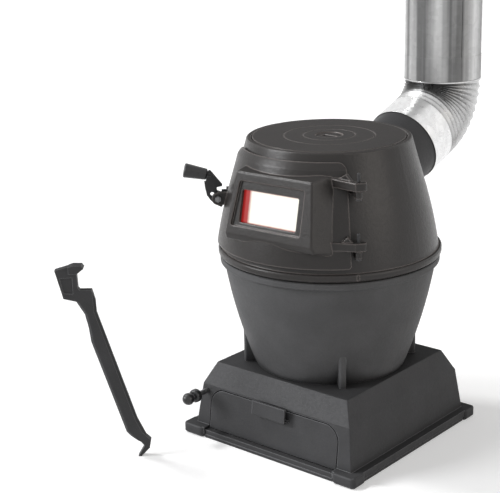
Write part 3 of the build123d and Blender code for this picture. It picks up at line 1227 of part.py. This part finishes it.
def main():
    nodes = {
        "base": make_base(),
        "bottom_plate": make_bottom_plate(),
        "plate_screws": make_plate_screws(),
        "ash_drawer_front": make_drawer_front(),
        "ash_drawer_pull": make_drawer_pull(),
        "ash_drawer_tray": make_drawer_tray(),
        "ash_drawer_rivets": make_drawer_rivets(),
        "grate": make_grate(),
        "shaker_rod": make_shaker_rod(),
        "shaker_knob": make_shaker_knob(),
        "shaker_collar": make_shaker_collar(),
        "bowl": make_bowl(),
        "bowl_bolts": make_bowl_bolts(),
        "seam_gasket": make_seam_gasket(),
        "bell": make_bell(),
        "door_leaf": make_door_leaf(),
        "door_gasket": make_door_gasket(),
        "window_glass": make_window_glass(),
        "glass_gasket": make_glass_gasket(),
        "glass_clips": make_glass_clips(),
        "clip_screws": make_clip_screws(),
        "hinge_pin_upper": make_hinge_pin(HINGE_UPPER_Z),
        "hinge_pin_lower": make_hinge_pin(HINGE_LOWER_Z),
        "latch_lever": make_latch_lever(),
        "latch_grip": make_latch_grip(),
        "latch_bolt": make_latch_bolt(),
        "latch_nut": make_latch_nut(),
        "latch_keeper": make_latch_keeper(),
        "keeper_screw": keeper_screw(0),
        "hob_ring_outer": make_lid(HOB_RECESS_RADIUS - HOB_GAP, OUTER_RING_BORE),
        "hob_ring_inner": make_lid(OUTER_RING_BORE - LID_GAP, INNER_RING_BORE),
        "hob_centre_lid": make_centre_lid(),
        "flue_collar": make_flue_collar(),
        "flue_sleeve": make_flue_sleeve(),
        "flue_elbow": make_flue_elbow(),
        "flue_pipe": make_flue_pipe(),
        "lid_lifter": make_lid_lifter(),
    }
    os.makedirs("parts", exist_ok=True)
    for name, shape in nodes.items():
        export_step(shape, f"parts/{name}.step")


main()
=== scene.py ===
import json
from math import cos, pi, radians, sin

import bpy
from mathutils import Matrix, Vector


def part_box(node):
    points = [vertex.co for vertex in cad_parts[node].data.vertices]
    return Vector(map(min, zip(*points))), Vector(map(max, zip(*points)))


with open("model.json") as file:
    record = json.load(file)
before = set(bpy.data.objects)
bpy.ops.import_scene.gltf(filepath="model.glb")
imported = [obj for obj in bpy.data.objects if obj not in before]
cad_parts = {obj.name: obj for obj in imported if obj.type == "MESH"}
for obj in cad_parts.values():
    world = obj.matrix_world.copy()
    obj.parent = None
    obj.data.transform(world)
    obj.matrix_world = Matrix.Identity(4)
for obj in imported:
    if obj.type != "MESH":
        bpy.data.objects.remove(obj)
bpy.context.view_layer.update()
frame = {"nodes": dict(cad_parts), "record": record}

nodes = frame["nodes"]
scene = bpy.context.scene
scene.view_settings.view_transform = "Standard"

UP = (0, 0, 1)
WHITE = (1, 1, 1)


def outward(azimuth, elevation):
    """Direction away from the stove, with azimuths from its front round to its right."""
    return Vector((sin(azimuth) * cos(elevation), -cos(azimuth) * cos(elevation), sin(elevation)))


def rightward(azimuth):
    """Level direction to the right of an eye at this azimuth."""
    return Vector((cos(azimuth), sin(azimuth), 0))


# Camera, at the photograph's angle

CAMERA_AZIMUTH = radians(37.04)
CAMERA_ELEVATION = radians(17.13)
CAMERA_DISTANCE = 1.9544
CAMERA_TARGET = Vector((0, 0, 0.2765))
CAMERA_YAW = radians(3.61)
CAMERA_PITCH = radians(16.86)
CAMERA_ROLL = radians(-1.34)
CAMERA_LENS = 94.92
CAMERA_SENSOR = 36.0
CAMERA_NEAREST = 0.05


def make_camera():
    heading = CAMERA_AZIMUTH + CAMERA_YAW
    forward = -outward(heading, CAMERA_PITCH)
    level = rightward(heading)
    upright = level.cross(forward)
    right = level * cos(CAMERA_ROLL) + upright * sin(CAMERA_ROLL)
    up = upright * cos(CAMERA_ROLL) - level * sin(CAMERA_ROLL)
    data = bpy.data.cameras.new("camera")
    data.lens = CAMERA_LENS
    data.sensor_width = CAMERA_SENSOR
    data.clip_start = CAMERA_NEAREST
    camera = bpy.data.objects.new("camera", data)
    scene.collection.objects.link(camera)
    place = CAMERA_TARGET + CAMERA_DISTANCE * outward(CAMERA_AZIMUTH, CAMERA_ELEVATION)
    turn = Matrix((right, up, -forward)).transposed()
    camera.matrix_world = Matrix.Translation(place) @ turn.to_4x4()
    scene.camera = camera


# Materials

BEVEL_SAMPLES = 6
CREVICE_SAMPLES = 8

# A colour mix's factor, two colours and result, counted among the node's sockets
MIX_INPUTS = (0, 6, 7)
MIX_OUTPUT = 2

# Detail of a noise with fine grain
FINE = 3.0

# Parts of a pattern's range in which its ramp runs from one colour to the other
NARROW = (0.35, 0.65)
MIDDLE = (0.3, 0.7)
WHOLE = (0.0, 1.0)

# From a steep slope to nearly level, as the upward part of the surface's direction
LEVELLING = (0.75, 0.97)


class Shader:
    """A new material, with short calls that add and join nodes."""

    def __init__(self, name):
        self.material = bpy.data.materials.new(name)
        self.material.use_nodes = True
        self.tree = self.material.node_tree
        self.surface = self.tree.nodes["Principled BSDF"]
        self.place = self.add("ShaderNodeTexCoord").outputs["Object"]

    def feed(self, socket, value):
        """Join a socket to another or give it a plain value, with colours as three numbers."""
        if isinstance(value, bpy.types.NodeSocket):
            self.tree.links.new(value, socket)
        elif socket.type == "RGBA":
            socket.default_value = (*value, 1)
        else:
            socket.default_value = value

    def add(self, kind, *values, **settings):
        """A new node with its settings, and its first inputs fed in order."""
        node = self.tree.nodes.new(kind)
        for key, value in settings.items():
            setattr(node, key, value)
        for socket, value in zip(node.inputs, values):
            self.feed(socket, value)
        return node

    def put(self, node, **values):
        """Feed a node's inputs by name, with _ for a space."""
        for name, value in values.items():
            self.feed(node.inputs[name.replace("_", " ")], value)
        return node

    def finish(self, **values):
        """Feed the surface's inputs and hand over the material."""
        self.put(self.surface, **values)
        return self.material

    def math(self, operation, *values):
        return self.add("ShaderNodeMath", *values, operation=operation).outputs["Value"]

    def dot(self, first, second):
        """Scalar product of two vectors, each a socket or plain numbers."""
        node = self.add("ShaderNodeVectorMath", first, second, operation="DOT_PRODUCT")
        return node.outputs["Value"]

    def noise(self, scale, detail=2.0, stretch=None):
        """Grey noise, with its scale in features to the metre."""
        place = self.place
        if stretch:
            mapping = self.put(self.add("ShaderNodeMapping"), Vector=place, Scale=stretch)
            place = mapping.outputs["Vector"]
        node = self.add("ShaderNodeTexNoise")
        return self.put(node, Vector=place, Scale=scale, Detail=detail).outputs["Fac"]

    def ramp(self, source, *stops):
        """Colours against a value: each stop is a position and a colour or a grey level."""
        node = self.add("ShaderNodeValToRGB", source)
        elements = node.color_ramp.elements
        while len(elements) < len(stops):
            elements.new(0.5)
        for element, (position, colour) in zip(elements, stops):
            element.position = position
            element.color = (*colour, 1) if isinstance(colour, tuple) else (colour, colour, colour, 1)
        return node.outputs["Color"]

    def between(self, source, low, high, span=MIDDLE):
        """One colour or level that turns into another over a span of the source."""
        start, end = span
        return self.ramp(source, (start, low), (end, high))

    def mix(self, factor, low, high, blend="MIX"):
        node = self.add("ShaderNodeMix", data_type="RGBA", blend_type=blend)
        for index, value in zip(MIX_INPUTS, (factor, low, high)):
            self.feed(node.inputs[index], value)
        return node.outputs[MIX_OUTPUT]

    def darken(self, colour, grey, share=1.0):
        """Colour multiplied by a grey, as strongly as the share says."""
        return self.mix(share, colour, grey, "MULTIPLY")

    def own_normal(self):
        """Direction of the surface before its edges are rounded."""
        return self.add("ShaderNodeNewGeometry").outputs["Normal"]

    def soft_normal(self, radius):
        """Shading normal that rounds every sharp edge by a radius."""
        node = self.add("ShaderNodeBevel", samples=BEVEL_SAMPLES)
        return self.put(node, Radius=radius).outputs["Normal"]

    def edges(self, rounded, span):
        """Mask that is white along the edges that the rounded normal covers."""
        return self.between(self.dot(rounded, self.own_normal()), 1.0, 0.0, span)

    def upward(self, steep, level):
        """Grey from that of steep surfaces to that of level ones."""
        return self.between(self.dot(self.own_normal(), UP), steep, level, LEVELLING)

    def crevice_shade(self, distance, dark, span):
        """Painted shade: grey that falls to a dark level where surfaces close in."""
        node = self.add("ShaderNodeAmbientOcclusion", samples=CREVICE_SAMPLES)
        return self.between(self.put(node, Distance=distance).outputs["AO"], dark, 1.0, span)

    def bump(self, height, distance, normal=None):
        """Shading normal of a relief, on top of another normal if there is one."""
        node = self.put(self.add("ShaderNodeBump"), Height=height, Distance=distance)
        if normal:
            self.put(node, Normal=normal)
        return node.outputs["Normal"]


def tone(colour, level):
    return tuple(channel * level for channel in colour)


# A stove's painted coat on a sand casting, with painted shade on level faces and in nooks and a
# painted highlight along edges: patterns in features to the metre, heights in metres
CLOUD_SCALE = 16
PIT_SCALE = 230
PIT_HEIGHT = 0.00025
GRAIN_SCALE = 900
GRAIN_HEIGHT = 0.00010
CLOUD_TONES = (0.90, 1.10)
GRAIN_DARK = 0.72
GRAIN_SHARE = 0.5
# Level faces: a painted shade that darkens their colour, and a higher roughness
LEVEL_SHADE_DARK = 0.85
LEVEL_ROUGHNESS = 0.85
# Painted shade in nooks where surfaces close in: its reach in metres, its darkest grey and its span
NOOK_SHADE_REACH = 0.03
NOOK_SHADE_DARK = 0.25
NOOK_SHADE_SPAN = (0.15, 0.75)
# Span over which edges turn lighter, partly worn and partly a painted highlight
WORN_AND_HIGHLIGHT_EDGE_SPAN = (0.86, 0.995)
ROUGHNESS_SPREAD = (-0.04, 0.06)


def cast_iron(name, colour, roughness, shine, edge_radius, edge_wear_and_highlight):
    """Fine grain, soft unevenness, matt level faces with painted shade, painted shade in nooks, and
    edges so many times lighter, partly worn and partly a painted highlight.
    """
    s = Shader(name)
    rounded = s.soft_normal(edge_radius)
    grain = s.noise(GRAIN_SCALE, FINE)
    pits = s.noise(PIT_SCALE, FINE)
    dark, light = (tone(colour, level) for level in CLOUD_TONES)
    coat_with_painted_shade = s.between(s.noise(CLOUD_SCALE, FINE), dark, light, NARROW)
    coat_with_painted_shade = s.darken(coat_with_painted_shade, s.between(grain, GRAIN_DARK, 1.0, NARROW), GRAIN_SHARE)
    # Painted shade on level faces and in nooks
    coat_with_painted_shade = s.darken(coat_with_painted_shade, s.upward(1.0, LEVEL_SHADE_DARK))
    coat_with_painted_shade = s.darken(coat_with_painted_shade, s.crevice_shade(NOOK_SHADE_REACH, NOOK_SHADE_DARK, NOOK_SHADE_SPAN))
    uneven = s.between(pits, *(roughness + change for change in ROUGHNESS_SPREAD))
    return s.finish(
        # Edges lighter, partly worn and partly a painted highlight
        Base_Color=s.mix(s.edges(rounded, WORN_AND_HIGHLIGHT_EDGE_SPAN), coat_with_painted_shade, tone(colour, edge_wear_and_highlight)),
        Roughness=s.math("MAXIMUM", uneven, s.upward(0.0, LEVEL_ROUGHNESS)),
        Specular_IOR_Level=shine,
        Normal=s.bump(grain, GRAIN_HEIGHT, s.bump(pits, PIT_HEIGHT, rounded)),
    )


# Zinc coated sheet
FLOWER_SCALE = 160
FLOWER_DARK = 0.86
ROLLING_SCALE = 120
ROLLING_STRETCH = (1, 1, 0.05)
ROLLING_DARK = 0.85
ROLLING_SHARE = 0.6
SHEEN_SCALE = 90
SHEET_ROUGHNESS = (0.24, 0.36)
SHEET_EDGE = 0.0005
DENT_SCALE = 40
DENT_HEIGHT = 0.0006
# Painted shade down in the pleats: its reach in metres, its darkest grey and its span
PLEAT_SHADE_REACH = 0.010
PLEAT_SHADE_DARK = 0.30
PLEAT_SHADE_SPAN = (0.50, 0.92)


def zinc(s, level):
    """Zinc flowers and faint rolling marks, as a grey."""
    flowers = s.put(s.add("ShaderNodeTexVoronoi", feature="F1"), Vector=s.place, Scale=FLOWER_SCALE)
    spangle = s.between(flowers.outputs["Color"], level * FLOWER_DARK, level, WHOLE)
    marks = s.noise(ROLLING_SCALE, FINE, ROLLING_STRETCH)
    return s.darken(spangle, s.between(marks, ROLLING_DARK, 1.0), ROLLING_SHARE)


def galvanised(name, level):
    """Zinc coated sheet, with painted shade down in the pleats."""
    s = Shader(name)
    return s.finish(
        Base_Color=s.darken(zinc(s, level), s.crevice_shade(PLEAT_SHADE_REACH, PLEAT_SHADE_DARK, PLEAT_SHADE_SPAN)),
        Metallic=1.0,
        Roughness=s.between(s.noise(SHEEN_SCALE, FINE), *SHEET_ROUGHNESS),
        Normal=s.bump(s.noise(DENT_SCALE), DENT_HEIGHT, s.soft_normal(SHEET_EDGE)),
    )


# Painted reflections on the pipe: long bright and dark bands, by the brightness of a noise stretched
# along it
REFLECTION_STREAK_SCALE = 30
REFLECTION_STREAK_STRETCH = (1, 1, 0.02)
REFLECTION_STREAK_SPAN = (0.38, 0.62)
REFLECTION_STREAK_TONES = (0.15, 0.70)
PIPE_ROUGHNESS = (0.30, 0.42)
PIPE_DENT_SCALE = 30
PIPE_DENT_STRETCH = (1, 1, 0.2)
PIPE_DENT_HEIGHT = 0.0004


def pipe_with_painted_reflections():
    """Zinc coated sheet rolled to a pipe, with long bright and dark bands of painted reflection."""
    s = Shader("pipe_with_painted_reflections")
    # Painted reflections: long bright and dark bands in the pipe's colour
    reflection_streaks = s.between(s.noise(REFLECTION_STREAK_SCALE, FINE, REFLECTION_STREAK_STRETCH), *REFLECTION_STREAK_TONES, REFLECTION_STREAK_SPAN)
    dents = s.noise(PIPE_DENT_SCALE, stretch=PIPE_DENT_STRETCH)
    return s.finish(
        Base_Color=s.darken(reflection_streaks, zinc(s, 1.0)),
        Metallic=1.0,
        Roughness=s.between(s.noise(SHEEN_SCALE, FINE), *PIPE_ROUGHNESS),
        Normal=s.bump(dents, PIPE_DENT_HEIGHT),
    )


# Brushed steel of the tray, the rod, the clips and the fasteners
BRUSH_SCALE = 400
BRUSH_STRETCH = (1, 1, 0.1)
STEEL_COLOURS = ((0.16, 0.16, 0.165), (0.26, 0.26, 0.265))
STEEL_ROUGHNESS = (0.32, 0.48)
STEEL_EDGE = 0.0004


def raw_steel():
    s = Shader("raw_steel")
    brushed = s.noise(BRUSH_SCALE, FINE, BRUSH_STRETCH)
    return s.finish(
        Base_Color=s.between(brushed, *STEEL_COLOURS),
        Metallic=1.0,
        Roughness=s.between(brushed, *STEEL_ROUGHNESS),
        Normal=s.soft_normal(STEEL_EDGE),
    )


# Black coating of the handles
MOTTLE_SCALE = 300
HANDLE_COLOURS = ((0.010, 0.010, 0.011), (0.018, 0.018, 0.019))
HANDLE_ROUGHNESS = (0.28, 0.4)
HANDLE_EDGE = 0.0006


def black_handle():
    s = Shader("black_handle")
    mottle = s.noise(MOTTLE_SCALE, FINE)
    return s.finish(
        Base_Color=s.between(mottle, *HANDLE_COLOURS),
        Roughness=s.between(mottle, *HANDLE_ROUGHNESS),
        Normal=s.soft_normal(HANDLE_EDGE),
    )


# Woven rope of the gaskets
WEAVE_SCALE = 300
WEAVE_SPAN = (0.2, 0.8)
WEAVE_HEIGHT = 0.0004
ROPE_COLOURS = ((0.05, 0.048, 0.045), (0.12, 0.115, 0.11))
ROPE_ROUGHNESS = 0.95


def gasket_fibre():
    s = Shader("gasket_fibre")
    weave = s.put(s.add("ShaderNodeTexWave"), Vector=s.place, Scale=WEAVE_SCALE).outputs["Fac"]
    return s.finish(
        Base_Color=s.between(weave, *ROPE_COLOURS, WEAVE_SPAN),
        Roughness=ROPE_ROUGHNESS,
        Normal=s.bump(weave, WEAVE_HEIGHT),
    )


# Window: the way it faces, its half sizes and its glow
WINDOW_AZIMUTH = radians(2.5)
WINDOW_LEAN = radians(12.5)
WINDOW_HALF_WIDTH = 0.0488
WINDOW_HALF_HEIGHT = 0.02325
GLOW_STRENGTH = 1.05
GLOW_WAVER = 0.03
WAVER_SCALE = 60
GLASS_COLOUR = (0.02, 0.015, 0.012)
GLASS_ROUGHNESS = 0.15

# Glow from the left to the right, and its tint from the middle out to the edges
DEEP_RED = (0.4, 0.02, 0.02)
WARM_WHITE = (1.0, 1.0, 0.9)
GLOW_ACROSS = ((0.1, DEEP_RED), (0.15, WARM_WHITE))
GLOW_OUTWARDS = ((0.9, WHITE), (1.0, DEEP_RED))


def lit_glass():
    """Window glass with a painted glow, as if lit from behind: white hot in the middle, red at its
    left and along its edges.
    """
    s = Shader("lit_glass")
    low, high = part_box("window_glass")
    centre = (low + high) / 2
    across = rightward(WINDOW_AZIMUTH)
    up = outward(WINDOW_AZIMUTH, WINDOW_LEAN).cross(across)
    x = s.math("SUBTRACT", s.dot(s.place, across), centre.dot(across))
    y = s.math("SUBTRACT", s.dot(s.place, up), centre.dot(up))
    x = s.math("DIVIDE", x, WINDOW_HALF_WIDTH)
    y = s.math("DIVIDE", y, WINDOW_HALF_HEIGHT)
    waver = s.math("MULTIPLY", s.noise(WAVER_SCALE), GLOW_WAVER)
    along = s.math("ADD", s.math("MULTIPLY_ADD", x, 0.5, 0.5 - GLOW_WAVER / 2), waver)
    reach = s.math("MAXIMUM", s.math("ABSOLUTE", x), s.math("ABSOLUTE", y))
    rim = s.ramp(s.math("SUBTRACT", reach, waver), *GLOW_OUTWARDS)
    return s.finish(
        Base_Color=GLASS_COLOUR,
        Roughness=GLASS_ROUGHNESS,
        # Painted glow: the glass itself gives off the fire's light
        Emission_Color=s.darken(s.ramp(along, *GLOW_ACROSS), rim),
        Emission_Strength=GLOW_STRENGTH,
    )


def give_materials():
    """Cast iron in three tones for the base, the bowl and the upper castings, partly painted in
    different shades and partly painted light and shade, and a material for each other slot.
    """
    # One cast iron in three tones: partly castings painted in different shades, partly painted light
    # on the lighter bowl and painted shade on the darker upper castings; their edges turn lighter,
    # partly worn and partly a painted highlight
    body = cast_iron("iron_body", (0.050, 0.050, 0.052), roughness=0.50, shine=0.20,
                     edge_radius=0.0018, edge_wear_and_highlight=3.0)
    barrel = cast_iron("iron_barrel", (0.082, 0.082, 0.084), roughness=0.58, shine=0.22,
                       edge_radius=0.0020, edge_wear_and_highlight=2.2)
    upper = cast_iron("iron_upper", (0.019, 0.0165, 0.0155), roughness=0.33, shine=0.36,
                      edge_radius=0.0032, edge_wear_and_highlight=8.0)
    slots = {
        "cast_iron": body,
        "flue_steel": galvanised("zinc_sleeve", level=0.86),
        "raw_steel": raw_steel(),
        "handle_black": black_handle(),
        "gasket_fibre": gasket_fibre(),
        "window_glass": lit_glass(),
    }
    finishes = {
        "bell": upper,
        "door_leaf": upper,
        "hob_ring_outer": upper,
        "hob_ring_inner": upper,
        "hob_centre_lid": upper,
        "hinge_pin_upper": body,
        "hinge_pin_lower": body,
        "bowl": barrel,
        # The elbow's zinc is a darker copy of the sleeve's: painted shade
        "flue_elbow": galvanised("zinc_elbow", level=0.60),
        # The pipe's colour carries painted reflections
        "flue_pipe": pipe_with_painted_reflections(),
    }
    for part in frame["record"]["subparts"]:
        mesh = nodes[part["node"]].data
        mesh.materials.clear()
        mesh.materials.append(finishes.get(part["node"], slots[part["material_slot"]]))


# Floor, world and lamps

WORLD_LEVEL = 0.30
FLOOR_SIZE = 60
FLOOR_COLOUR = (0.80, 0.80, 0.80)
FLOOR_ROUGHNESS = 0.95
FLOOR_LIFT = 0.36


def seen_directly(tree):
    """Factor that is one for rays that show the scene: straight, mirrored or through glass."""
    rays = tree.nodes.new("ShaderNodeLightPath")
    total = rays.outputs["Is Camera Ray"]
    for name in ("Is Glossy Ray", "Is Transmission Ray"):
        node = tree.nodes.new("ShaderNodeMath")
        node.operation = "MAXIMUM"
        tree.links.new(total, node.inputs[0])
        tree.links.new(rays.outputs[name], node.inputs[1])
        total = node.outputs[0]
    return total


def make_floor():
    """White floor that is lifted to plain white for the eye alone and keeps the shadow."""
    bpy.ops.mesh.primitive_plane_add(size=FLOOR_SIZE, location=(0, 0, 0))
    floor = bpy.context.object
    floor.name = "floor"
    s = Shader("floor")
    floor.data.materials.append(s.finish(
        Base_Color=FLOOR_COLOUR,
        Roughness=FLOOR_ROUGHNESS,
        Specular_IOR_Level=0.0,
        Emission_Color=WHITE,
        Emission_Strength=s.math("MULTIPLY", seen_directly(s.tree), FLOOR_LIFT),
    ))


def make_world():
    """Dim white light all round, and a plain white backdrop for the eye."""
    world = bpy.data.worlds.new("world")
    scene.world = world
    world.use_nodes = True
    tree = world.node_tree
    plain = tree.nodes["Background"]
    plain.inputs["Color"].default_value = (*WHITE, 1)
    plain.inputs["Strength"].default_value = WORLD_LEVEL
    backdrop = tree.nodes.new("ShaderNodeBackground")
    backdrop.inputs["Color"].default_value = (*WHITE, 1)
    mix = tree.nodes.new("ShaderNodeMixShader")
    tree.links.new(seen_directly(tree), mix.inputs[0])
    tree.links.new(plain.outputs[0], mix.inputs[1])
    tree.links.new(backdrop.outputs[0], mix.inputs[2])
    tree.links.new(mix.outputs[0], tree.nodes["World Output"].inputs[0])


def make_lamp(name, azimuth, elevation, level, spread, colour):
    """Far soft lamp. A level of one lights a white surface that faces it to plain white."""
    data = bpy.data.lights.new(name, "SUN")
    data.energy = level * pi
    data.angle = radians(spread)
    data.color = colour
    lamp = bpy.data.objects.new(name, data)
    scene.collection.objects.link(lamp)
    back = outward(radians(azimuth), radians(elevation))
    lamp.rotation_euler = (-back).to_track_quat("-Z", "Y").to_euler()


make_camera()
give_materials()
make_floor()
make_world()
make_lamp("key", azimuth=-42, elevation=24, level=0.70, spread=24, colour=(0.97, 0.98, 1.0))
make_lamp("sheen", azimuth=-72, elevation=55, level=0.42, spread=10, colour=WHITE)
make_lamp("side", azimuth=96, elevation=22, level=0.20, spread=40, colour=(1, 0.93, 0.86))
